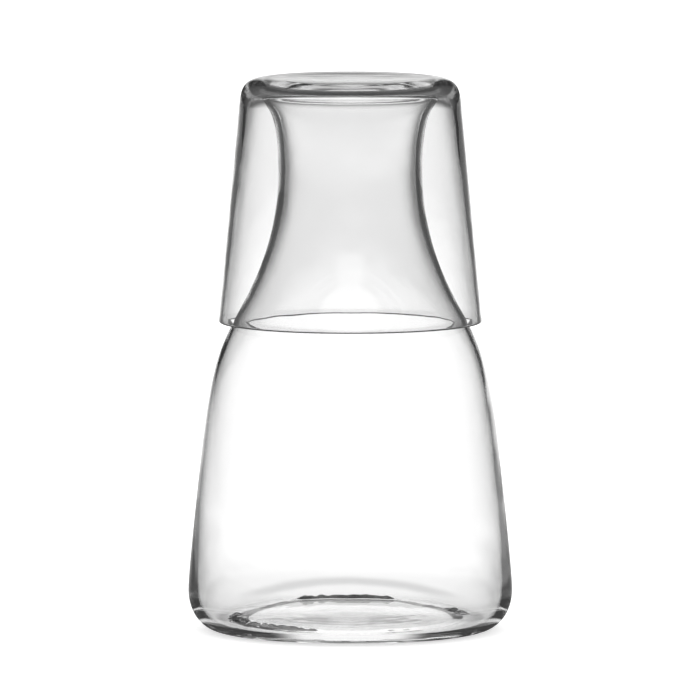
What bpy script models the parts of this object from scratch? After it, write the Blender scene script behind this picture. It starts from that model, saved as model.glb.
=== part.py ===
"""Glass water carafe with a tumbler turned upside down over its neck. Metres, +Z up."""
import math

import bmesh
import bpy
from mathutils import Vector

MM = 0.001

# Carafe, outside
CARAFE_HEIGHT = 175.7 * MM       # standing plane to the top of the lip
BODY_RADIUS = 52.5 * MM          # widest place, just above the heel
HEEL_HEIGHT = 12.8 * MM          # where the heel meets the body wall
FOOT_OUTER_RADIUS = 42.6 * MM    # flat standing ring
FOOT_INNER_RADIUS = 37.0 * MM
FOOT_STEP_WIDTH = 4.0 * MM       # slope from the standing ring up into the hollow foot
FOOT_STEP_RISE = 0.9 * MM
PUSH_UP = 1.8 * MM               # hollow under the foot, at its centre
WAIST_DROP = 26.3 * MM           # lip to the narrowest place of the neck
SHOULDER_DROP = 45.4 * MM        # from there to the steepest place of the shoulder
BODY_DROP = 40.0 * MM            # from there to the end of the nearly straight wall
BODY_STATION_RADIUS = 47.4 * MM
BODY_SLOPE = 0.125
SHOULDER_RADIUS = 35.8 * MM
SHOULDER_SLOPE = 0.542
WAIST_RADIUS = 23.25 * MM
MOUTH_RADIUS = 28.6 * MM         # widest place of the lip
MOUTH_FLARE = math.radians(33.0)

# Carafe, wall and floor
LIP_THICKNESS = 2.0 * MM
WAIST_WALL = 2.2 * MM
SHOULDER_WALL = 1.6 * MM
BODY_WALL = 1.3 * MM
HEEL_WALL = 2.8 * MM
FLOOR_THICKNESS = 2.8 * MM       # above the standing plane, at the edge of the floor
FLOOR_RISE = 1.6 * MM            # inside dome over the hollow foot

# Tumbler, upside down
TUMBLER_HEIGHT = 79.4 * MM
TUMBLER_RIM_RADIUS = 42.6 * MM
TUMBLER_SHOULDER_RADIUS = 35.85 * MM  # where the wall meets the rounded base edge
TUMBLER_EDGE_WIDTH = 10.2 * MM
TUMBLER_EDGE_HEIGHT = 8.0 * MM
TUMBLER_FLOOR = 3.2 * MM
TUMBLER_HOLLOW_RADIUS = 22.0 * MM
TUMBLER_HOLLOW = 0.6 * MM
TUMBLER_RIM_WALL = 1.2 * MM
TUMBLER_BASE_WALL = 2.3 * MM
TUMBLER_CORNER_WIDTH = 6.8 * MM  # inside corner between wall and floor
TUMBLER_CORNER_HEIGHT = 7.8 * MM

SEAT_GAP = 0.3 * MM              # tumbler floor above the carafe lip
ROUNDING = 0.75                  # handle share of a fire-polished edge: fuller than a quarter round
HEEL_ROUNDING = 0.55             # handle share of a plain quarter round
TURN_STEPS = 48


def clear_scene():
    for item in list(bpy.data.objects):
        bpy.data.objects.remove(item, do_unlink=True)


def bezier(start, handle_a, handle_b, end, count):
    """Points after the start, up to and including the end."""
    points = []
    for i in range(1, count + 1):
        t = i / count
        s = 1.0 - t
        points.append(start * s ** 3 + handle_a * (3 * s * s * t) + handle_b * (3 * s * t * t) + end * t ** 3)
    return points


def ellipse(centre, width, height, first, last, count):
    """Arc points after the first angle, angles in degrees from +R towards +Z."""
    points = []
    for i in range(1, count + 1):
        a = math.radians(first + (last - first) * i / count)
        points.append(centre + Vector((width * math.cos(a), height * math.sin(a))))
    return points


def straight(start, end, count):
    return [start.lerp(end, i / count) for i in range(1, count + 1)]


def leaning(slope, length):
    return Vector((slope, 1.0)).normalized() * length


def ease(share):
    """Smooth from 0 to 1, level at both ends."""
    return share * share * (3.0 - 2.0 * share)


def thinning(share):
    """Quick at first, level at the end: the thick heel soon runs out into the thin wall."""
    return 1.0 - (1.0 - share) ** 2.2


def carafe_wall():
    """Outer wall from heel to mouth, with the wall thickness at each point."""
    heel = Vector((BODY_RADIUS, HEEL_HEIGHT))
    waist = Vector((WAIST_RADIUS, CARAFE_HEIGHT - WAIST_DROP))
    shoulder = Vector((SHOULDER_RADIUS, waist.y - SHOULDER_DROP))
    body = Vector((BODY_STATION_RADIUS, shoulder.y - BODY_DROP))
    half = LIP_THICKNESS / 2
    lip_centre = Vector((MOUTH_RADIUS - half, CARAFE_HEIGHT - half))
    mouth = lip_centre + Vector((math.cos(MOUTH_FLARE), -math.sin(MOUTH_FLARE))) * half
    flare = math.tan(MOUTH_FLARE)
    low = body.y - heel.y
    top = mouth.y - waist.y
    runs = [
        (heel, heel + leaning(0, low * 0.15), body - leaning(-BODY_SLOPE, low * 0.087), body, 6,
         HEEL_WALL, BODY_WALL, thinning),
        (body, body + leaning(-BODY_SLOPE, BODY_DROP * 0.58),
         shoulder - leaning(-SHOULDER_SLOPE, BODY_DROP * 0.31), shoulder, 7,
         BODY_WALL, SHOULDER_WALL, ease),
        (shoulder, shoulder + leaning(-SHOULDER_SLOPE, SHOULDER_DROP * 0.16),
         waist - leaning(0, SHOULDER_DROP * 0.51), waist, 7,
         SHOULDER_WALL, WAIST_WALL, ease),
        (waist, waist + leaning(0, top * 0.58), mouth - leaning(flare, top * 0.2), mouth, 7,
         WAIST_WALL, LIP_THICKNESS, ease),
    ]
    points = [heel]
    walls = [HEEL_WALL]
    for start, handle_a, handle_b, end, count, thick_a, thick_b, law in runs:
        for point in bezier(start, handle_a, handle_b, end, count):
            share = min(1.0, max(0.0, (point.y - start.y) / (end.y - start.y)))
            points.append(point)
            walls.append(thick_a + (thick_b - thick_a) * law(share))
    return points, walls, lip_centre


def inward(points, walls):
    """The wall's inner side: each point moved in by the wall thickness, square to the curve."""
    inner = []
    last = len(points) - 1
    for i, point in enumerate(points):
        if i == last:
            along = Vector((math.sin(MOUTH_FLARE), math.cos(MOUTH_FLARE)))
        else:
            along = (points[min(i + 1, last)] - points[max(i - 1, 0)]).normalized()
        inner.append(point + Vector((-along.y, along.x)) * walls[i])
    return inner


def carafe_profile():
    """Section from the foot's centre, up the outside and down the inside to the floor's centre."""
    wall, walls, lip_centre = carafe_wall()
    inner = inward(wall, walls)
    foot = Vector((FOOT_INNER_RADIUS, 0.0))
    hollow_top = Vector((0.0, PUSH_UP))
    step_top = Vector((FOOT_INNER_RADIUS - FOOT_STEP_WIDTH, FOOT_STEP_RISE))
    profile = [hollow_top]
    profile += bezier(hollow_top, Vector((step_top.x * 0.4, PUSH_UP)),
                      step_top + Vector((-step_top.x * 0.3, (PUSH_UP - FOOT_STEP_RISE) * 0.4)), step_top, 4)
    profile += bezier(step_top, step_top + Vector((FOOT_STEP_WIDTH * 0.4, -FOOT_STEP_WIDTH * 0.015)),
                      foot - Vector((FOOT_STEP_WIDTH * 0.4, 0.0)), foot, 4)
    profile.append(Vector((FOOT_OUTER_RADIUS, 0.0)))
    heel_centre = Vector((FOOT_OUTER_RADIUS, HEEL_HEIGHT))
    profile += ellipse(heel_centre, BODY_RADIUS - FOOT_OUTER_RADIUS, HEEL_HEIGHT, -90, 0, 8)
    profile += wall[1:]
    tilt = math.degrees(MOUTH_FLARE)
    profile += ellipse(lip_centre, LIP_THICKNESS / 2, LIP_THICKNESS / 2, -tilt, 180 - tilt, 6)
    profile += list(reversed(inner))[1:]
    inner_heel = profile[-1]
    floor_edge = Vector((FOOT_OUTER_RADIUS, FLOOR_THICKNESS))
    floor_top = Vector((0.0, FLOOR_THICKNESS + FLOOR_RISE))
    down = (inner[0] - inner[1]).normalized()
    profile += bezier(inner_heel, inner_heel + down * (inner_heel.y - floor_edge.y) * HEEL_ROUNDING,
                      floor_edge + Vector((inner_heel.x - floor_edge.x, 0.0)) * HEEL_ROUNDING, floor_edge, 8)
    profile += bezier(floor_edge, Vector((floor_edge.x * 0.7, FLOOR_THICKNESS)),
                      Vector((floor_edge.x * 0.4, floor_top.y)), floor_top, 5)
    return profile


def tumbler_profile():
    """Section from the base's centre on top, down the outside, round the rim and up the inside."""
    floor = CARAFE_HEIGHT + SEAT_GAP
    top = floor + TUMBLER_FLOOR
    rim = top - TUMBLER_HEIGHT
    half = TUMBLER_RIM_WALL / 2
    hollow = Vector((0.0, top - TUMBLER_HOLLOW))
    ring = Vector((TUMBLER_HOLLOW_RADIUS, top))
    edge = Vector((TUMBLER_SHOULDER_RADIUS - TUMBLER_EDGE_WIDTH, top))
    wall_top = Vector((TUMBLER_SHOULDER_RADIUS, top - TUMBLER_EDGE_HEIGHT))
    rim_centre = Vector((TUMBLER_RIM_RADIUS - half, rim + half))
    wall_foot = rim_centre + Vector((half, 0))
    down = (wall_foot - wall_top).normalized()
    profile = [hollow]
    profile += bezier(hollow, Vector((TUMBLER_HOLLOW_RADIUS * 0.5, hollow.y)),
                      Vector((TUMBLER_HOLLOW_RADIUS * 0.8, top)), ring, 4)
    profile.append(edge)
    profile += bezier(edge, edge + Vector((TUMBLER_EDGE_WIDTH * ROUNDING, 0)),
                      wall_top - down * TUMBLER_EDGE_HEIGHT * ROUNDING, wall_top, 8)
    profile += straight(wall_top, wall_foot, 4)
    profile += ellipse(rim_centre, half, half, 0, -180, 4)
    corner = Vector((TUMBLER_SHOULDER_RADIUS - TUMBLER_BASE_WALL, floor - TUMBLER_CORNER_HEIGHT))
    floor_edge = Vector((corner.x - TUMBLER_CORNER_WIDTH, floor))
    up = (corner - profile[-1]).normalized()
    profile += straight(profile[-1], corner, 4)
    profile += bezier(corner, corner + up * TUMBLER_CORNER_HEIGHT * ROUNDING,
                      floor_edge + Vector((TUMBLER_CORNER_WIDTH * ROUNDING, 0)), floor_edge, 7)
    profile.append(Vector((0.0, floor)))
    return profile


def turned(name, profile, material):
    """Spin a half section about Z into one closed solid."""
    mesh = bpy.data.meshes.new(name)
    body = bmesh.new()
    verts = [body.verts.new((p.x, 0.0, p.y)) for p in profile]
    edges = [body.edges.new((a, b)) for a, b in zip(verts, verts[1:])]
    bmesh.ops.spin(body, geom=verts + edges, cent=(0, 0, 0), axis=(0, 0, 1), angle=math.tau,
                   steps=TURN_STEPS, use_merge=True, use_duplicate=False)
    bmesh.ops.remove_doubles(body, verts=body.verts, dist=0.00001)
    bmesh.ops.recalc_face_normals(body, faces=body.faces)
    for face in body.faces:
        face.smooth = True
    body.to_mesh(mesh)
    body.free()
    mesh.set_sharp_from_angle(angle=math.radians(50))
    mesh.materials.append(material)
    piece = bpy.data.objects.new(name, mesh)
    bpy.context.scene.collection.objects.link(piece)
    return piece


def clear_glass():
    material = bpy.data.materials.new("clear_soda_lime_glass")
    material.use_nodes = True
    shader = material.node_tree.nodes["Principled BSDF"]
    shader.inputs["Base Color"].default_value = (0.95, 0.96, 0.96, 1.0)
    shader.inputs["Roughness"].default_value = 0.02
    shader.inputs["IOR"].default_value = 1.5
    shader.inputs["Transmission Weight"].default_value = 1.0
    return material


def main():
    clear_scene()
    glass = clear_glass()
    turned("carafe", carafe_profile(), glass)
    turned("tumbler", tumbler_profile(), glass)


main()
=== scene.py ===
"""Clear glass water carafe, its tumbler upside down over the neck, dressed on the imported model."""
import math

import bmesh
import bpy
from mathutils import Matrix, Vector


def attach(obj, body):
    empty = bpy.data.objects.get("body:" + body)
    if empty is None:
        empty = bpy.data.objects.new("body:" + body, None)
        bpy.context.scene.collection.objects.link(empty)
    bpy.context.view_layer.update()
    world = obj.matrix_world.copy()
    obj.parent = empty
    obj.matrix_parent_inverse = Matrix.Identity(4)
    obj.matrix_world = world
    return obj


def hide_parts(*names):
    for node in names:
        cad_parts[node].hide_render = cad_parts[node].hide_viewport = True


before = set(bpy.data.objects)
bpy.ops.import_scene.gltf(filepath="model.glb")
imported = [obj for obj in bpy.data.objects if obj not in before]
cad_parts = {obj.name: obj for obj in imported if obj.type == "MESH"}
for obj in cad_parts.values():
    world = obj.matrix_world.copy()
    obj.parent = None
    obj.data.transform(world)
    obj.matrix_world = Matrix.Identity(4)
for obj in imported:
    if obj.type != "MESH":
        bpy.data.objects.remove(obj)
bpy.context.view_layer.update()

MM = 0.001

# Carafe, outside: the same sizes as the solids
CARAFE_HEIGHT = 175.7 * MM       # standing plane to the top of the lip
BODY_RADIUS = 52.5 * MM          # widest place, just above the heel
HEEL_HEIGHT = 12.8 * MM          # where the heel meets the body wall
FOOT_OUTER_RADIUS = 42.6 * MM    # flat standing ring
FOOT_INNER_RADIUS = 37.0 * MM
FOOT_STEP_WIDTH = 4.0 * MM       # slope from the standing ring up into the hollow foot
FOOT_STEP_RISE = 0.9 * MM
PUSH_UP = 1.8 * MM               # hollow under the foot, at its centre
WAIST_DROP = 26.3 * MM           # lip to the narrowest place of the neck
SHOULDER_DROP = 45.4 * MM        # from there to the steepest place of the shoulder
BODY_DROP = 40.0 * MM            # from there to the end of the nearly straight wall
BODY_STATION_RADIUS = 47.4 * MM
BODY_SLOPE = 0.125
SHOULDER_RADIUS = 35.8 * MM
SHOULDER_SLOPE = 0.542
WAIST_RADIUS = 23.25 * MM
MOUTH_RADIUS = 28.6 * MM         # widest place of the lip
MOUTH_FLARE = math.radians(33.0)

# Carafe, wall and floor
LIP_THICKNESS = 2.0 * MM
WAIST_WALL = 2.2 * MM
SHOULDER_WALL = 1.6 * MM
BODY_WALL = 1.3 * MM
HEEL_WALL = 2.8 * MM
HEEL_THINNING = 2.2              # how fast the wall thins above the heel
FLOOR_THICKNESS = 2.8 * MM       # above the standing plane, at the edge of the floor
FLOOR_RISE = 1.6 * MM            # inside dome over the hollow foot

# Tumbler, upside down
TUMBLER_HEIGHT = 79.4 * MM
TUMBLER_RIM_RADIUS = 42.6 * MM
TUMBLER_SHOULDER_RADIUS = 35.85 * MM  # where the wall meets the rounded base edge
TUMBLER_EDGE_WIDTH = 10.2 * MM
TUMBLER_EDGE_HEIGHT = 8.0 * MM
TUMBLER_FLOOR = 3.2 * MM
TUMBLER_HOLLOW_RADIUS = 22.0 * MM
TUMBLER_HOLLOW = 0.6 * MM
TUMBLER_RIM_WALL = 1.2 * MM
TUMBLER_BASE_WALL = 2.3 * MM
TUMBLER_CORNER_WIDTH = 6.8 * MM  # inside corner between wall and floor
TUMBLER_CORNER_HEIGHT = 7.8 * MM
SEAT_GAP = 0.3 * MM              # tumbler floor above the carafe lip

# How far the handles of each curve reach, as a share of its run
HEEL_HANDLES = (0.15, 0.087)
BODY_HANDLES = (0.58, 0.31)
SHOULDER_HANDLES = (0.16, 0.51)
NECK_HANDLES = (0.58, 0.2)
PUSH_UP_HANDLES = (0.4, 0.3)
PUSH_UP_LEVEL = 0.4              # height of the outer one, between the step and the centre
STEP_HANDLE = 0.15
STEP_SLOPE = 0.1
STAND_HANDLE = 2 * MM
FLOOR_HANDLES = (0.7, 0.4)
TUMBLER_HOLLOW_HANDLES = (0.5, 0.8)
ROUNDING = 0.75                  # fire-polished edge: fuller than a quarter round
HEEL_ROUNDING = 0.55             # plain quarter round

# Points along each run of the two sections, and steps round the axis
CARAFE_POINTS = {"push-up": 30, "step": 14, "stand": 4, "heel": 24, "wall": 18, "lip": 16, "inner heel": 28,
                 "floor": 110}
TUMBLER_POINTS = {"hollow": 20, "ring": 4, "edge": 32, "wall": 40, "rim": 16, "corner": 24, "floor": 24}
TURN_STEPS = 224
WELD = 0.002 * MM                # points closer than this are one

# Traces of the blower's hand on the inside of the carafe. Four numbers: from, to, value at each.
SEED = 7
RING_RADIUS = 37.0 * MM          # ring of tool marks round the floor
RING_WANDER = 1.2 * MM
RING_WIDTH = 1.6 * MM
RING_HEIGHT = 1.65 * MM
RING_MARKS = ((92, 26, 1.0), (215, 38, 1.0), (18, 8, 0.7), (296, 9, 0.5))  # middle, half length (deg), depth
RING_END = 5                     # half the length over which a mark fades in (deg)
TOOL_NOISE = {"Scale": 9.0, "Detail": 2.0, "Roughness": 0.6}     # on a circle of radius 1
TOOL_PRESS = (0.34, 0.58, 0.45, 1.0)
WANDER_NOISE = {"Scale": 6.0, "Detail": 4.0}
WANDER_FROM = (0.3, 0.7)
RIPPLE_PITCH = 4.3 * MM          # turning ripples on the floor
RIPPLE_HEIGHT = 0.003 * MM
RIPPLE_SWAY = 9.0                # how far they run out of round (rad)
RIPPLE_START = (2 * MM, 12 * MM, 0.0, 1.0)
FLOOR_ZONE = (4.5 * MM, 9 * MM, 1.0, 0.0)
WALL_DRIFT = 0.35 * MM           # body wall thinner on one side than on the other
DRIFT_RISE = (10 * MM, 50 * MM, 0.0, 1.0)
DRIFT_FALL = (60 * MM, 110 * MM, 1.0, 0.0)

# Glass
GLASS_IOR = 1.5
WAVE_SIZE = 14 * MM              # wave in the fire-polished skin
WAVE_HEIGHT = 0.4 * MM
WAVE_STRENGTH = 0.2
CORD_SIZE = 38 * MM              # cords left in the melt
CLEAR = "ffffff"
CORD = "fdfdfd"

# The set as the glass sees it: a white card behind, dim sides. Angles are from straight behind.
WALL_LOBE = (math.radians(4), math.radians(24))    # half width of the card: full, none
FLOOR_LOBE = (math.radians(5), math.radians(25))
FOOT_LOBE = (math.radians(25), math.radians(45))
FRONT_TURN = (math.radians(55), math.radians(95))  # dim side to plain front
STRAIGHT_TURN = math.radians(14)
SIDE_LEVEL = 0.045
FRONT_LEVEL = 0.27
# wall of the set, by the sine of the height
WALL_FADE = (0.03, 0.26, 1.06, 0.04)
WALL_TAPER = (0.03, 0.2, 1.0, 2.0)                 # the card narrows upwards
WALL_START = math.radians(28)
MIRROR_NARROW = 2.2                                # in a reflection the card is narrower and dimmer
MIRROR_LEVEL = 0.72
INNER_WALLS = (0.0, 3.0, 1.0, 1.42)                # but brighter the deeper in the glass it is reflected
# floor of the set, painted light and shade as the glass sees it, by the distance from the axis (m)
FLOOR_SIZE = 8.0
FLOOR_DROP = 0.3 * MM
# painted pool of light on the floor: bright behind the foot, fading far off, and painted shade close to the
# foot
SHEET_FADE = (1.6, 3.0, 1.28, 1.06)
SHEET_CLOSE = (0.095, 0.16, 0.82, 0.97)
SHADOW_ARC_SQUEEZE = (2.5, 1.0, 1.0)                     # painted soft shadow: a grey arc behind the foot
SHADOW_ARC_RADIUS = 0.096
SHADOW_ARC_SHADE = (0.002, 0.02, 0.25, 0.0)
SHADOW_ARC_BEHIND = (0.03, 0.07, 0.0, 1.0)
SIDE_SHADE = (0.045, 0.07, 0.0, 0.27)              # painted shade: grey to either side of the foot
SIDE_SHADE_OUT = (0.15, 0.25, 1.0, 0.0)
SIDE_SHADE_ROUND = (0.75, 1.0, 1.0, 0.0)           # radians
SPREAD = 0.05
# painted shade: the floor dims to the sides and further away
SIDE_FADE = (0.3, 1.1, 0.12, 0.04)
VEIL = (0.35, 0.7, 0.38)                           # painted reflection: the floor paler in reflections: from, to, level close by
VEIL_FAR = 0.36
# painted: in reflections the floor is dimmer close by
FAR_MIRROR = (0.4, 1.2, 0.5, 1.0)
NEAR_FLOOR = 1.2
FLOOR_START = (1.05, NEAR_FLOOR, math.radians(12), WALL_START)
# floor right beside the foot and under it: painted shade at its sides, painted light in front and under it
FOOT_SIDE_SHADE = 0.05
FOOT_FRONT = (math.radians(144), math.radians(162), 0.0, 1.0)
FOOT_FRONT_LEVEL = 0.95
FOOT_START = math.radians(10)
FOOT_REACH = (0.09, 0.12, 1.0, 0.0)
GLINTS = ((65 * MM, 1.2 * MM, 0.8), (51.5 * MM, 1.3 * MM, 0.7))   # painted highlights: pale strips that glint in the heel: radius, half width, level
GLINT_ENDS = (math.radians(52), math.radians(66), 0.0, 1.0)
UNDER_FOOT = (0.036, 0.041, 1.0, 0.0)
# painted light: under the foot the floor glows brighter than white
UNDER_FOOT_GLOW = 1.35
PAPER = "e6e6e6"
PAPER_GLOW = 0.62                # brings the paper to white for the camera

# Camera: nearly level, far off, so that the outline hardly narrows upwards
CAMERA_SIDE = -0.1 * MM
CAMERA_DISTANCE = 4.0
CAMERA_HEIGHT = 0.466
AIM_HEIGHT = 0.0907
PICTURE_WIDTH = 226.569 * MM     # what the picture spans at the axis

# Names and settings that many nodes share
RANGE = ("From_Min", "From_Max", "To_Min", "To_Max")
SMOOTH = {"interpolation_type": "SMOOTHSTEP"}
FLOAT = {"data_type": "FLOAT"}
ROUND_Z = {"rotation_type": "Z_AXIS"}
PLUS = {"operation": "ADD"}
MINUS = {"operation": "SUBTRACT"}
TIMES = {"operation": "MULTIPLY"}
OVER = {"operation": "DIVIDE"}
REST = {"operation": "MODULO"}
ABSOLUTE = {"operation": "ABSOLUTE"}
LARGER = {"operation": "MAXIMUM"}
BELOW = {"operation": "LESS_THAN"}
ABOVE = {"operation": "GREATER_THAN"}
BEARING = {"operation": "ARCTAN2"}
LENGTH = {"operation": "LENGTH"}


def linear(code):
    """sRGB hex to linear colour."""
    parts = [int(code[i:i + 2], 16) / 255 for i in (0, 2, 4)]
    return tuple(c / 12.92 if c <= 0.04045 else ((c + 0.055) / 1.055) ** 2.4 for c in parts) + (1.0,)


def add(tree, kind, settings=None, **links):
    """Add one node with its settings.

    Each link goes to the input of that name or number: a node (its first output), a socket or a value.
    """
    node = tree.nodes.new(kind)
    for key, value in (settings or {}).items():
        setattr(node, key, value)
    for key, value in links.items():
        numbered = key[0] == "i" and key[1:].isdigit()
        socket = node.inputs[int(key[1:]) if numbered else key.replace("_", " ")]
        if isinstance(value, bpy.types.Node):
            value = value.outputs[0]
        if isinstance(value, bpy.types.NodeSocket):
            tree.links.new(value, socket)
        else:
            socket.default_value = value
    return node


def bezier(start, handle_a, handle_b, end, count):
    points = []
    for i in range(1, count + 1):
        t = i / count
        s = 1.0 - t
        points.append(start * s ** 3 + handle_a * (3 * s * s * t) + handle_b * (3 * s * t * t) + end * t ** 3)
    return points


def ellipse(centre, width, height, first, last, count):
    points = []
    for i in range(1, count + 1):
        a = math.radians(first + (last - first) * i / count)
        points.append(centre + Vector((width * math.cos(a), height * math.sin(a))))
    return points


def straight(start, end, count):
    return [start.lerp(end, i / count) for i in range(1, count + 1)]


def leaning(slope, length):
    return Vector((slope, 1.0)).normalized() * length


def ease(share):
    """Smooth from 0 to 1, level at both ends."""
    return share * share * (3.0 - 2.0 * share)


def carafe_wall():
    """Outer wall from heel to mouth, with the wall thickness at each point."""
    heel = Vector((BODY_RADIUS, HEEL_HEIGHT))
    waist = Vector((WAIST_RADIUS, CARAFE_HEIGHT - WAIST_DROP))
    shoulder = Vector((SHOULDER_RADIUS, waist.y - SHOULDER_DROP))
    body = Vector((BODY_STATION_RADIUS, shoulder.y - BODY_DROP))
    half = LIP_THICKNESS / 2
    lip_centre = Vector((MOUTH_RADIUS - half, CARAFE_HEIGHT - half))
    mouth = lip_centre + Vector((math.cos(MOUTH_FLARE), -math.sin(MOUTH_FLARE))) * half
    stations = [(heel, 0.0, HEEL_WALL), (body, -BODY_SLOPE, BODY_WALL),
                (shoulder, -SHOULDER_SLOPE, SHOULDER_WALL), (waist, 0.0, WAIST_WALL),
                (mouth, math.tan(MOUTH_FLARE), LIP_THICKNESS)]
    handles = [HEEL_HANDLES, BODY_HANDLES, SHOULDER_HANDLES, NECK_HANDLES]
    points = [heel]
    walls = [HEEL_WALL]
    for lower, upper, (reach_a, reach_b) in zip(stations, stations[1:], handles):
        start, slope_a, thick_a = lower
        end, slope_b, thick_b = upper
        rise = end.y - start.y
        handle_a = start + leaning(slope_a, rise * reach_a)
        handle_b = end - leaning(slope_b, rise * reach_b)
        for point in bezier(start, handle_a, handle_b, end, CARAFE_POINTS["wall"]):
            share = min(1.0, max(0.0, (point.y - start.y) / rise))
            change = 1.0 - (1.0 - share) ** HEEL_THINNING if start is heel else ease(share)
            points.append(point)
            walls.append(thick_a + (thick_b - thick_a) * change)
    return points, walls, lip_centre


def inward(points, walls):
    """The inner wall: each point of the outer one moved in by the wall there."""
    inner = []
    last = len(points) - 1
    for i, point in enumerate(points):
        if i == last:
            along = Vector((math.sin(MOUTH_FLARE), math.cos(MOUTH_FLARE)))
        else:
            along = (points[i + 1] - points[max(i - 1, 0)]).normalized()
        inner.append(point + Vector((-along.y, along.x)) * walls[i])
    return inner


def carafe_section():
    """From the middle of the hollow foot out, up the wall, over the lip and back inside to the floor."""
    count = CARAFE_POINTS
    wall, walls, lip_centre = carafe_wall()
    inner = inward(wall, walls)
    hollow_top = Vector((0.0, PUSH_UP))
    step_top = Vector((FOOT_INNER_RADIUS - FOOT_STEP_WIDTH, FOOT_STEP_RISE))
    step_handle = FOOT_STEP_WIDTH * STEP_HANDLE
    foot = Vector((FOOT_INNER_RADIUS, 0.0))
    foot_edge = Vector((FOOT_OUTER_RADIUS, 0.0))
    stand_handle = Vector((STAND_HANDLE, 0.0))
    section = [hollow_top]
    section += bezier(hollow_top, Vector((step_top.x * PUSH_UP_HANDLES[0], PUSH_UP)),
                      step_top + Vector((-step_top.x * PUSH_UP_HANDLES[1],
                                         (PUSH_UP - FOOT_STEP_RISE) * PUSH_UP_LEVEL)),
                      step_top, count["push-up"])
    section += bezier(step_top, step_top + Vector((step_handle, -step_handle * STEP_SLOPE)),
                      foot - Vector((step_handle, 0.0)), foot, count["step"])
    section += bezier(foot, foot + stand_handle, foot_edge - stand_handle, foot_edge, count["stand"])
    heel_centre = Vector((FOOT_OUTER_RADIUS, HEEL_HEIGHT))
    section += ellipse(heel_centre, BODY_RADIUS - FOOT_OUTER_RADIUS, HEEL_HEIGHT, -90, 0, count["heel"])
    section += wall[1:]
    tilt = math.degrees(MOUTH_FLARE)
    section += ellipse(lip_centre, LIP_THICKNESS / 2, LIP_THICKNESS / 2, -tilt, 180 - tilt, count["lip"])
    lip = len(section)
    section += list(reversed(inner))[1:]
    inner_heel = section[-1]
    floor_edge = Vector((FOOT_OUTER_RADIUS, FLOOR_THICKNESS))
    floor_top = Vector((0.0, FLOOR_THICKNESS + FLOOR_RISE))
    down = (inner[0] - inner[1]).normalized()
    section += bezier(inner_heel, inner_heel + down * (inner_heel.y - floor_edge.y) * HEEL_ROUNDING,
                      floor_edge + Vector((inner_heel.x - floor_edge.x, 0.0)) * HEEL_ROUNDING,
                      floor_edge, count["inner heel"])
    section += bezier(floor_edge, Vector((floor_edge.x * FLOOR_HANDLES[0], FLOOR_THICKNESS)),
                      Vector((floor_edge.x * FLOOR_HANDLES[1], floor_top.y)), floor_top, count["floor"])
    return section, lip


def tumbler_section():
    """From the middle of the base, which is on top, out, down the wall, round the rim and back up inside."""
    count = TUMBLER_POINTS
    floor = CARAFE_HEIGHT + SEAT_GAP
    top = floor + TUMBLER_FLOOR
    rim = top - TUMBLER_HEIGHT
    half = TUMBLER_RIM_WALL / 2
    hollow = Vector((0.0, top - TUMBLER_HOLLOW))
    ring = Vector((TUMBLER_HOLLOW_RADIUS, top))
    edge = Vector((TUMBLER_SHOULDER_RADIUS - TUMBLER_EDGE_WIDTH, top))
    wall_top = Vector((TUMBLER_SHOULDER_RADIUS, top - TUMBLER_EDGE_HEIGHT))
    rim_centre = Vector((TUMBLER_RIM_RADIUS - half, rim + half))
    wall_foot = rim_centre + Vector((half, 0))
    down = (wall_foot - wall_top).normalized()
    section = [hollow]
    section += bezier(hollow, Vector((TUMBLER_HOLLOW_RADIUS * TUMBLER_HOLLOW_HANDLES[0], hollow.y)),
                      Vector((TUMBLER_HOLLOW_RADIUS * TUMBLER_HOLLOW_HANDLES[1], top)), ring, count["hollow"])
    section += straight(ring, edge, count["ring"])
    section += bezier(edge, edge + Vector((TUMBLER_EDGE_WIDTH * ROUNDING, 0)),
                      wall_top - down * TUMBLER_EDGE_HEIGHT * ROUNDING, wall_top, count["edge"])
    section += straight(wall_top, wall_foot, count["wall"])
    section += ellipse(rim_centre, half, half, 0, -180, count["rim"])
    corner = Vector((TUMBLER_SHOULDER_RADIUS - TUMBLER_BASE_WALL, floor - TUMBLER_CORNER_HEIGHT))
    floor_edge = Vector((corner.x - TUMBLER_CORNER_WIDTH, floor))
    up = (corner - section[-1]).normalized()
    section += straight(section[-1], corner, count["wall"])
    section += bezier(corner, corner + up * TUMBLER_CORNER_HEIGHT * ROUNDING,
                      floor_edge + Vector((TUMBLER_CORNER_WIDTH * ROUNDING, 0)), floor_edge, count["corner"])
    section += straight(floor_edge, Vector((0.0, floor)), count["floor"])
    return section, len(section)


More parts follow.
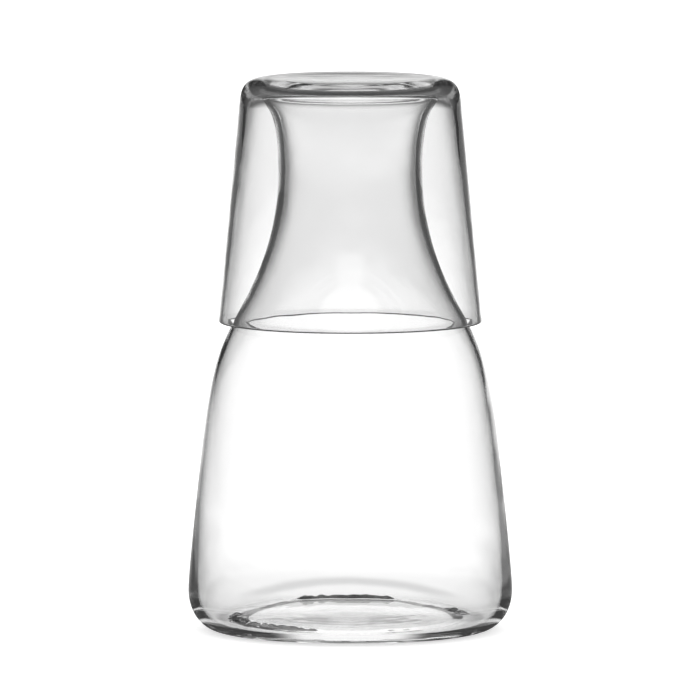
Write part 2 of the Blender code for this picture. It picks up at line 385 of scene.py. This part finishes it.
def lathe_tree():
    """Geometry Nodes: spin the section (a chain of points in the XZ plane) about Z into one closed skin.

    Inside the lip the skin may carry a ring of tool marks, turning ripples and a wall drift.
    """
    tree = bpy.data.node_groups.new("turned_glass", "GeometryNodeTree")
    face = tree.interface
    face.new_socket("Section", in_out="INPUT", socket_type="NodeSocketGeometry")
    for name in ("Points", "Lip Point", "Turn Steps", "Seed"):
        face.new_socket(name, in_out="INPUT", socket_type="NodeSocketInt")
    for name in ("Ring Height", "Ripple Height", "Wall Drift"):
        face.new_socket(name, in_out="INPUT", socket_type="NodeSocketFloat")
    face.new_socket("Glass", in_out="INPUT", socket_type="NodeSocketMaterial")
    face.new_socket("Skin", in_out="OUTPUT", socket_type="NodeSocketGeometry")
    given = tree.nodes.new("NodeGroupInput").outputs

    # the turned skin
    seam = add(tree, "ShaderNodeMath", PLUS, i0=given["Turn Steps"], i1=1.0)
    grid = add(tree, "GeometryNodeMeshGrid", Size_X=1.0, Size_Y=1.0, Vertices_X=given["Points"],
               Vertices_Y=seam)
    index = add(tree, "GeometryNodeInputIndex")
    row = add(tree, "ShaderNodeMath", OVER, i0=index, i1=seam)
    along = add(tree, "ShaderNodeMath", {"operation": "FLOOR"}, i0=row)
    around = add(tree, "ShaderNodeMath", REST, i0=index, i1=seam)
    share = add(tree, "ShaderNodeMath", OVER, i0=around, i1=given["Turn Steps"])
    angle = add(tree, "ShaderNodeMath", TIMES, i0=share, i1=math.tau)
    place = add(tree, "GeometryNodeInputPosition")
    point = add(tree, "GeometryNodeSampleIndex", {"data_type": "FLOAT_VECTOR", "domain": "POINT"},
                Geometry=given["Section"], Value=place, Index=along)
    turned = add(tree, "ShaderNodeVectorRotate", ROUND_Z, Vector=point, Angle=angle)

    # where each point is: inside the lip, how far out, how high, and two numbers that wander round the axis
    part = add(tree, "ShaderNodeSeparateXYZ", Vector=point).outputs
    inside = add(tree, "ShaderNodeMath", ABOVE, i0=along, i1=given["Lip Point"])
    heading = add(tree, "ShaderNodeVectorRotate", ROUND_Z, Vector=(1.0, 0.0, 0.0), Angle=angle)
    tool = add(tree, "ShaderNodeTexNoise", {"noise_dimensions": "4D"}, Vector=heading, W=given["Seed"],
               **TOOL_NOISE)
    wander = add(tree, "ShaderNodeTexNoise", {"noise_dimensions": "4D"}, Vector=heading, W=given["Seed"],
                 **WANDER_NOISE)

    # ring of tool marks
    press = None
    for middle, half, depth in RING_MARKS:
        turn = add(tree, "ShaderNodeMath", MINUS, i0=angle, i1=math.radians(middle))
        near = add(tree, "ShaderNodeMath", {"operation": "COSINE"}, i0=turn)
        stroke = add(tree, "ShaderNodeMapRange", SMOOTH, Value=near,
                     From_Min=math.cos(math.radians(half + RING_END)),
                     From_Max=math.cos(math.radians(half - RING_END)), To_Min=0.0, To_Max=depth)
        press = add(tree, "ShaderNodeMath", PLUS, i0=stroke, i1=press) if press else stroke
    uneven = add(tree, "ShaderNodeMapRange", Value=tool, **dict(zip(RANGE, TOOL_PRESS)))
    press = add(tree, "ShaderNodeMath", TIMES, i0=press, i1=uneven)
    centre = add(tree, "ShaderNodeMapRange", Value=wander, From_Min=WANDER_FROM[0], From_Max=WANDER_FROM[1],
                 To_Min=RING_RADIUS - RING_WANDER / 2, To_Max=RING_RADIUS + RING_WANDER / 2)
    gap = add(tree, "ShaderNodeMath", MINUS, i0=part["X"], i1=centre)
    gap = add(tree, "ShaderNodeMath", OVER, i0=gap, i1=RING_WIDTH)
    gap = add(tree, "ShaderNodeMath", TIMES, i0=gap, i1=gap)
    gap = add(tree, "ShaderNodeMath", TIMES, i0=gap, i1=-1.0)
    mark = add(tree, "ShaderNodeMath", {"operation": "EXPONENT"}, i0=gap)
    mark = add(tree, "ShaderNodeMath", TIMES, i0=mark, i1=press)
    mark = add(tree, "ShaderNodeMath", TIMES, i0=mark, i1=given["Ring Height"])

    # turning ripples
    swing = add(tree, "ShaderNodeMath", TIMES, i0=part["X"], i1=math.tau / RIPPLE_PITCH)
    sway = add(tree, "ShaderNodeMath", TIMES, i0=wander, i1=RIPPLE_SWAY)
    swing = add(tree, "ShaderNodeMath", PLUS, i0=swing, i1=sway)
    ripple = add(tree, "ShaderNodeMath", {"operation": "SINE"}, i0=swing)
    ripple = add(tree, "ShaderNodeMath", TIMES, i0=ripple, i1=given["Ripple Height"])
    flat = add(tree, "ShaderNodeMapRange", SMOOTH, Value=part["X"], **dict(zip(RANGE, RIPPLE_START)))
    ripple = add(tree, "ShaderNodeMath", TIMES, i0=ripple, i1=flat)

    # both only on the floor of the vessel
    low = add(tree, "ShaderNodeMapRange", SMOOTH, Value=part["Z"], **dict(zip(RANGE, FLOOR_ZONE)))
    lift = add(tree, "ShaderNodeMath", PLUS, i0=mark, i1=ripple)
    lift = add(tree, "ShaderNodeMath", TIMES, i0=lift, i1=low)
    lift = add(tree, "ShaderNodeMath", TIMES, i0=lift, i1=inside)

    # wall drift between heel and shoulder
    rise = add(tree, "ShaderNodeMapRange", SMOOTH, Value=part["Z"], **dict(zip(RANGE, DRIFT_RISE)))
    fall = add(tree, "ShaderNodeMapRange", SMOOTH, Value=part["Z"], **dict(zip(RANGE, DRIFT_FALL)))
    drift = add(tree, "ShaderNodeMath", TIMES, i0=rise, i1=fall)
    drift = add(tree, "ShaderNodeMath", TIMES, i0=drift, i1=inside)
    drift = add(tree, "ShaderNodeMath", TIMES, i0=drift, i1=given["Wall Drift"])
    shift = add(tree, "ShaderNodeCombineXYZ", X=drift, Y=0.0, Z=lift)
    spot = add(tree, "ShaderNodeVectorMath", PLUS, i0=turned, i1=shift)

    skin = add(tree, "GeometryNodeSetPosition", Geometry=grid, Position=spot)
    whole = add(tree, "GeometryNodeMergeByDistance", Geometry=skin, Distance=WELD)
    smooth = add(tree, "GeometryNodeSetShadeSmooth", Geometry=whole)
    real = add(tree, "GeometryNodeRealizeInstances", Geometry=smooth)
    dressed = add(tree, "GeometryNodeSetMaterial", Geometry=real, Material=given["Glass"])
    add(tree, "NodeGroupOutput", Skin=dressed)
    return tree


def turned_piece(name, shape, tree, glass, traces=None):
    """Run the lathe on one section and keep the result as a plain mesh, its faces outwards."""
    section, lip = shape
    chain = bpy.data.meshes.new(name + "_section")
    chain.from_pydata([(p.x, 0.0, p.y) for p in section], [(i, i + 1) for i in range(len(section) - 1)], [])
    blank = bpy.data.objects.new(name + "_blank", chain)
    bpy.context.scene.collection.objects.link(blank)
    lathe = blank.modifiers.new("turned", "NODES")
    lathe.node_group = tree
    sockets = {item.name: item.identifier for item in tree.interface.items_tree if item.in_out == "INPUT"}
    settings = {"Points": len(section), "Lip Point": lip, "Turn Steps": TURN_STEPS, "Seed": SEED,
                "Glass": glass}
    settings.update(traces or {})
    for key, value in settings.items():
        lathe[sockets[key]] = value
    ready = blank.evaluated_get(bpy.context.evaluated_depsgraph_get())
    mesh = bpy.data.meshes.new_from_object(ready)
    mesh.name = name
    bpy.data.objects.remove(blank, do_unlink=True)
    work = bmesh.new()
    work.from_mesh(mesh)
    if work.calc_volume(signed=True) < 0:
        bmesh.ops.reverse_faces(work, faces=work.faces)
    work.to_mesh(mesh)
    work.free()
    piece = bpy.data.objects.new(name, mesh)
    bpy.context.scene.collection.objects.link(piece)
    return piece


def clear_glass(name):
    """Soda-lime glass, fire-polished: clear, colourless and mirror-smooth.

    A faint wave in the skin bends the lines seen through it, and cords in the melt give a breath of grey.
    """
    material = bpy.data.materials.new(name)
    material.use_nodes = True
    tree = material.node_tree
    shader = tree.nodes["Principled BSDF"]
    shader.inputs["Roughness"].default_value = 0.0
    shader.inputs["IOR"].default_value = GLASS_IOR
    shader.inputs["Transmission Weight"].default_value = 1.0
    place = add(tree, "ShaderNodeTexCoord").outputs["Object"]
    wave = add(tree, "ShaderNodeTexNoise", Vector=place, Scale=1 / WAVE_SIZE, Detail=1.0)
    bump = add(tree, "ShaderNodeBump", Strength=WAVE_STRENGTH, Distance=WAVE_HEIGHT, Height=wave)
    tree.links.new(bump.outputs["Normal"], shader.inputs["Normal"])
    cord = add(tree, "ShaderNodeTexNoise", Vector=place, Scale=1 / CORD_SIZE, Detail=2.0)
    melt = add(tree, "ShaderNodeMix", {"data_type": "RGBA"}, Factor=cord, i6=linear(CLEAR), i7=linear(CORD))
    tree.links.new(melt.outputs[2], shader.inputs["Base Color"])
    return material


def card(tree, x, y, spread, level, lobe, dim, plain):
    """Brightness of the white card that stands behind the glass, dim at the sides, plain in front: the
    world's light, or painted light on the floor.
    """
    clear = add(tree, "ShaderNodeMath", ABSOLUTE, i0=x)
    clear = add(tree, "ShaderNodeMath", MINUS, i0=clear, i1=spread)
    clear = add(tree, "ShaderNodeMath", LARGER, i0=clear, i1=0.0)
    off = add(tree, "ShaderNodeMath", BEARING, i0=clear, i1=y)
    front = add(tree, "ShaderNodeMapRange", SMOOTH, Value=off, **dict(zip(RANGE, FRONT_TURN + (dim, plain))))
    bright = add(tree, "ShaderNodeMapRange", SMOOTH, Value=off, **dict(zip(RANGE, lobe + (1.0, 0.0))))
    return add(tree, "ShaderNodeMix", FLOAT, Factor=bright, i2=front, i3=level)


def straight_on(tree, path, off, dim, level, any_walls, start):
    """A ray that crossed whole walls with no reflection meets white to the sides and in front too.

    Both walls of a vessel are four surfaces; where any_walls is 1, two surfaces are enough.
    """
    over = add(tree, "ShaderNodeMath", REST, i0=path["Transmission Depth"], i1=4.0)
    whole = add(tree, "ShaderNodeMath", BELOW, i0=over, i1=0.5)
    whole = add(tree, "ShaderNodeMath", LARGER, i0=whole, i1=any_walls)
    crossed = add(tree, "ShaderNodeMath", ABOVE, i0=path["Transmission Depth"], i1=1.5)
    whole = add(tree, "ShaderNodeMath", TIMES, i0=whole, i1=crossed)
    direct = add(tree, "ShaderNodeMath", BELOW, i0=path["Glossy Depth"], i1=0.5)
    whole = add(tree, "ShaderNodeMath", TIMES, i0=whole, i1=direct)
    past = add(tree, "ShaderNodeMath", MINUS, i0=off, i1=start)
    turned = add(tree, "ShaderNodeMapRange", SMOOTH, Value=past, From_Max=STRAIGHT_TURN)
    whole = add(tree, "ShaderNodeMath", TIMES, i0=whole, i1=turned)
    return add(tree, "ShaderNodeMix", FLOAT, Factor=whole, i2=dim, i3=level)


def set_wall():
    """World: plain white light; through and off the glass, a card behind that fades upwards and sideways."""
    world = bpy.data.worlds.new("studio")
    bpy.context.scene.world = world
    world.use_nodes = True
    tree = world.node_tree
    tree.nodes.clear()
    path = add(tree, "ShaderNodeLightPath").outputs
    heading = add(tree, "ShaderNodeTexCoord").outputs["Generated"]
    way = add(tree, "ShaderNodeSeparateXYZ", Vector=heading).outputs
    side = add(tree, "ShaderNodeMath", ABSOLUTE, i0=way["X"])
    off = add(tree, "ShaderNodeMath", BEARING, i0=side, i1=way["Y"])
    fade = add(tree, "ShaderNodeMapRange", SMOOTH, Value=way["Z"], **dict(zip(RANGE, WALL_FADE)))
    taper = add(tree, "ShaderNodeMapRange", Value=way["Z"], **dict(zip(RANGE, WALL_TAPER)))
    wide = add(tree, "ShaderNodeMath", TIMES, i0=way["X"], i1=taper)
    narrow = add(tree, "ShaderNodeMapRange", Value=path["Glossy Depth"], To_Min=1.0, To_Max=MIRROR_NARROW)
    wide = add(tree, "ShaderNodeMath", TIMES, i0=wide, i1=narrow)
    plain = add(tree, "ShaderNodeMapRange", Value=path["Transmission Depth"], To_Min=1.0, To_Max=FRONT_LEVEL)
    inner = add(tree, "ShaderNodeMapRange", Value=path["Transmission Depth"], **dict(zip(RANGE, INNER_WALLS)))
    inner = add(tree, "ShaderNodeMapRange", Value=path["Glossy Depth"], To_Min=1.0, To_Max=inner)
    lit = add(tree, "ShaderNodeMath", TIMES, i0=fade, i1=inner)
    wall = card(tree, wide, way["Y"], 0.0, lit, WALL_LOBE, SIDE_LEVEL, plain)
    wall = straight_on(tree, path, off, wall, fade, 0.0, WALL_START)
    mirrored = add(tree, "ShaderNodeMapRange", Value=path["Glossy Depth"], To_Min=1.0, To_Max=MIRROR_LEVEL)
    wall = add(tree, "ShaderNodeMath", TIMES, i0=wall, i1=mirrored)
    in_glass = add(tree, "ShaderNodeMath", LARGER, i0=path["Is Glossy Ray"], i1=path["Is Transmission Ray"])
    level = add(tree, "ShaderNodeMix", FLOAT, Factor=in_glass, i2=1.0, i3=wall)
    glow = add(tree, "ShaderNodeBackground", Color=(1, 1, 1, 1), Strength=level)
    add(tree, "ShaderNodeOutputWorld", Surface=glow)


def paper_and_painted_light():
    """White paper: matt and white to the camera, with the soft shadow of the foot.

    Through and off the glass it glows with painted light: a sheet that is bright behind the carafe and dim to
    its sides, with painted shade and glints round the foot.
    """
    paper = bpy.data.materials.new("white_paper_and_painted_light")
    paper.use_nodes = True
    tree = paper.node_tree
    tree.nodes.clear()
    path = add(tree, "ShaderNodeLightPath").outputs
    spot = add(tree, "ShaderNodeNewGeometry").outputs["Position"]
    way = add(tree, "ShaderNodeSeparateXYZ", Vector=spot).outputs
    away = add(tree, "ShaderNodeVectorMath", LENGTH, i0=spot).outputs["Value"]
    side = add(tree, "ShaderNodeMath", ABSOLUTE, i0=way["X"])
    off = add(tree, "ShaderNodeMath", BEARING, i0=side, i1=way["Y"])
    bounced = add(tree, "ShaderNodeMath", ABOVE, i0=path["Glossy Depth"], i1=0.5)

    # painted light: the bright sheet, with painted shade a little greyer close to the foot, in an arc behind
    # it and at its sides
    sheet = add(tree, "ShaderNodeMapRange", SMOOTH, Value=away, **dict(zip(RANGE, SHEET_FADE)))
    close = add(tree, "ShaderNodeMapRange", SMOOTH, Value=away, **dict(zip(RANGE, SHEET_CLOSE)))
    sheet = add(tree, "ShaderNodeMath", TIMES, i0=sheet, i1=close)
    arc = add(tree, "ShaderNodeVectorMath", TIMES, i0=spot, i1=SHADOW_ARC_SQUEEZE)
    arc = add(tree, "ShaderNodeVectorMath", LENGTH, i0=arc).outputs["Value"]
    shadow_arc = add(tree, "ShaderNodeMath", MINUS, i0=arc, i1=SHADOW_ARC_RADIUS)
    shadow_arc = add(tree, "ShaderNodeMath", ABSOLUTE, i0=shadow_arc)
    shadow_arc = add(tree, "ShaderNodeMapRange", SMOOTH, Value=shadow_arc, **dict(zip(RANGE, SHADOW_ARC_SHADE)))
    behind = add(tree, "ShaderNodeMapRange", SMOOTH, Value=way["Y"], **dict(zip(RANGE, SHADOW_ARC_BEHIND)))
    shadow_arc = add(tree, "ShaderNodeMath", TIMES, i0=shadow_arc, i1=behind)
    edge = add(tree, "ShaderNodeMapRange", SMOOTH, Value=side, **dict(zip(RANGE, SIDE_SHADE)))
    for measure, limits in ((away, SIDE_SHADE_OUT), (off, SIDE_SHADE_ROUND)):
        fade = add(tree, "ShaderNodeMapRange", SMOOTH, Value=measure, **dict(zip(RANGE, limits)))
        edge = add(tree, "ShaderNodeMath", TIMES, i0=edge, i1=fade)
    for shade in (shadow_arc, edge):
        left = add(tree, "ShaderNodeMath", MINUS, i0=1.0, i1=shade)
        sheet = add(tree, "ShaderNodeMath", TIMES, i0=sheet, i1=left)

    # away from the foot: painted dim sides, and a painted veil where the floor is seen in reflections
    dim = add(tree, "ShaderNodeMapRange", SMOOTH, Value=away, **dict(zip(RANGE, SIDE_FADE)))
    sheen = add(tree, "ShaderNodeMapRange", Value=path["Transmission Depth"], To_Min=VEIL_FAR, To_Max=0.0)
    veil = add(tree, "ShaderNodeMapRange", SMOOTH, Value=away, **dict(zip(RANGE, VEIL + (sheen,))))
    veil = add(tree, "ShaderNodeMath", TIMES, i0=veil, i1=bounced)
    dim = add(tree, "ShaderNodeMath", PLUS, i0=dim, i1=veil)
    far = card(tree, way["X"], way["Y"], SPREAD, sheet, FLOOR_LOBE, dim, FRONT_LEVEL)
    mirrored = add(tree, "ShaderNodeMapRange", Value=away, **dict(zip(RANGE, FAR_MIRROR)))
    mirrored = add(tree, "ShaderNodeMix", FLOAT, Factor=bounced, i2=1.0, i3=mirrored)
    far = add(tree, "ShaderNodeMath", TIMES, i0=far, i1=mirrored)
    any_walls = add(tree, "ShaderNodeMath", BELOW, i0=away, i1=NEAR_FLOOR)
    start = add(tree, "ShaderNodeMapRange", Value=away, **dict(zip(RANGE, FLOOR_START)))
    far = straight_on(tree, path, off, far, sheet, any_walls, start)

    # right beside the foot: painted shade at its sides, painted light in front, and painted pale strips that
    # glint in the heel
    beside = card(tree, way["X"], way["Y"], 0.0, sheet, FOOT_LOBE, FOOT_SIDE_SHADE, FOOT_SIDE_SHADE)
    front = add(tree, "ShaderNodeMapRange", SMOOTH, Value=off, **dict(zip(RANGE, FOOT_FRONT)))
    beside = add(tree, "ShaderNodeMix", FLOAT, Factor=front, i2=beside, i3=FOOT_FRONT_LEVEL)
    ends = add(tree, "ShaderNodeMapRange", SMOOTH, Value=off, **dict(zip(RANGE, GLINT_ENDS)))
    for middle, half, level in GLINTS:
        gap = add(tree, "ShaderNodeMath", MINUS, i0=away, i1=middle)
        gap = add(tree, "ShaderNodeMath", ABSOLUTE, i0=gap)
        glint = add(tree, "ShaderNodeMapRange", SMOOTH, Value=gap, From_Min=half * 0.5, From_Max=half * 1.5,
                    To_Min=level, To_Max=0.0)
        glint = add(tree, "ShaderNodeMath", TIMES, i0=glint, i1=ends)
        beside = add(tree, "ShaderNodeMath", PLUS, i0=beside, i1=glint)
    beside = straight_on(tree, path, off, beside, sheet, 1.0, FOOT_START)

    # all three zones of painted light as the glass sees them, the painted glow under the foot, and the plain
    # paper for every other ray
    near = add(tree, "ShaderNodeMapRange", SMOOTH, Value=away, **dict(zip(RANGE, FOOT_REACH)))
    under = add(tree, "ShaderNodeMapRange", SMOOTH, Value=away, **dict(zip(RANGE, UNDER_FOOT)))
    level = add(tree, "ShaderNodeMix", FLOAT, Factor=near, i2=far, i3=beside)
    level = add(tree, "ShaderNodeMix", FLOAT, Factor=under, i2=level, i3=UNDER_FOOT_GLOW)
    painted_glow = add(tree, "ShaderNodeEmission", Color=(1, 1, 1, 1), Strength=level)
    chalk = add(tree, "ShaderNodeBsdfDiffuse", Color=linear(PAPER))
    lift = add(tree, "ShaderNodeEmission", Color=(1, 1, 1, 1), Strength=PAPER_GLOW)
    white = add(tree, "ShaderNodeAddShader", i0=lift, i1=chalk)
    plain = add(tree, "ShaderNodeMixShader", i0=path["Is Camera Ray"], i1=chalk, i2=white)
    in_glass = add(tree, "ShaderNodeMath", LARGER, i0=path["Is Glossy Ray"], i1=path["Is Transmission Ray"])
    face = add(tree, "ShaderNodeMixShader", i0=in_glass, i1=plain, i2=painted_glow)
    add(tree, "ShaderNodeOutputMaterial", Surface=face)
    return paper


def studio():
    """White sweep; to the glass, the world and the painted floor are bright behind it and dim to the sides,
    so the glass is drawn by its own edges.
    """
    scene = bpy.context.scene
    scene.view_settings.view_transform = "Standard"
    scene.cycles.max_bounces = 48
    scene.cycles.transmission_bounces = 40
    scene.cycles.glossy_bounces = 24
    set_wall()
    mesh = bpy.data.meshes.new("floor")
    corners = [(x * FLOOR_SIZE, y * FLOOR_SIZE, 0.0) for x, y in ((-1, -1), (1, -1), (1, 1), (-1, 1))]
    mesh.from_pydata(corners, [], [(0, 1, 2, 3)])
    mesh.materials.append(paper_and_painted_light())
    floor = bpy.data.objects.new("floor", mesh)
    floor.location.z = -FLOOR_DROP
    scene.collection.objects.link(floor)


def camera():
    """Long lens, a little above the tumbler."""
    eye = Vector((CAMERA_SIDE, -CAMERA_DISTANCE, CAMERA_HEIGHT))
    aim = Vector((CAMERA_SIDE, 0.0, AIM_HEIGHT))
    data = bpy.data.cameras.new("camera")
    data.lens = data.sensor_width * (eye - aim).length / PICTURE_WIDTH
    item = bpy.data.objects.new("camera", data)
    item.location = eye
    item.rotation_euler = (aim - eye).to_track_quat("-Z", "Y").to_euler()
    bpy.context.scene.collection.objects.link(item)
    bpy.context.scene.camera = item


def main():
    studio()
    camera()
    tree = lathe_tree()
    traces = {"Ring Height": RING_HEIGHT, "Ripple Height": RIPPLE_HEIGHT, "Wall Drift": -WALL_DRIFT}
    carafe = turned_piece("carafe_blown_glass", carafe_section(), tree, clear_glass("blown_clear_glass"),
                          traces)
    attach(carafe, "carafe")
    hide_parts("carafe")
    tumbler = turned_piece("tumbler_blown_glass", tumbler_section(), tree, clear_glass("pressed_clear_glass"))
    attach(tumbler, "tumbler")
    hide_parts("tumbler")


main()
